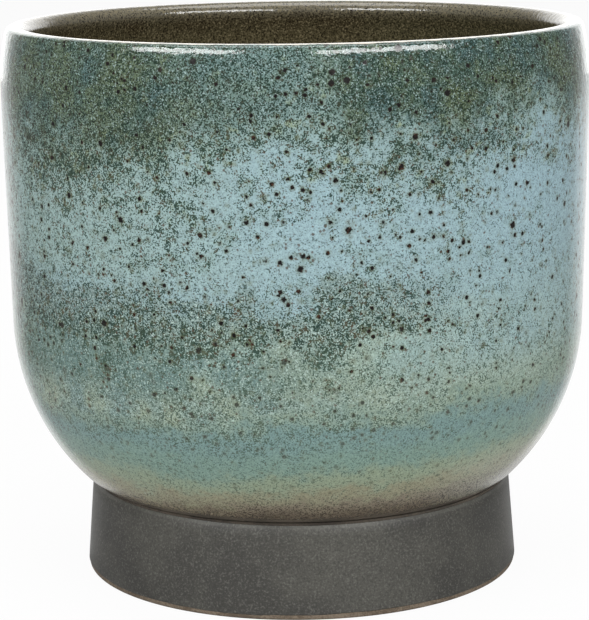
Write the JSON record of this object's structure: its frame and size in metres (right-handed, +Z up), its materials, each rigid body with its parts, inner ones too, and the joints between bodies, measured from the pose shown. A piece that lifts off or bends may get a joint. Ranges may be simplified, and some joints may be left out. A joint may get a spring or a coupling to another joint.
{
  "type": "footed flower pot",
  "caption": "Round stoneware flower pot with a deep straight-walled bowl, a rounded belly and lip, and a separate plain foot ring, with a speckled glaze outside and a brown liner glaze.",
  "frame": {"origin": "centre of the circle that the foot stands on", "axes": "+Z up along the axis that the pot is turned on; X and Y are free, since the pot is round"},
  "size_m": [0.175, 0.175, 0.165],
  "materials": {
    "bowl_clay": "bare fired stoneware, brown and grainy",
    "outer_glaze": "satin reactive glaze, pale blue and celadon with dark and rust specks",
    "inner_glaze": "glossy dark brown liner glaze with fine specks",
    "foot_clay": "bare fired stoneware, taupe and matte",
    "foot_wash": "matte charcoal wash with a fine grain",
    "luting_slip": "fired slip, dark brown and matte"
  },
  "bodies": {
    "root": {"bowl": "bowl_clay", "outer_glaze": "outer_glaze", "inner_glaze": "inner_glaze", "foot_ring": "foot_clay", "foot_wash": "foot_wash", "luting_slip": "luting_slip"}
  },
  "joints": []
}
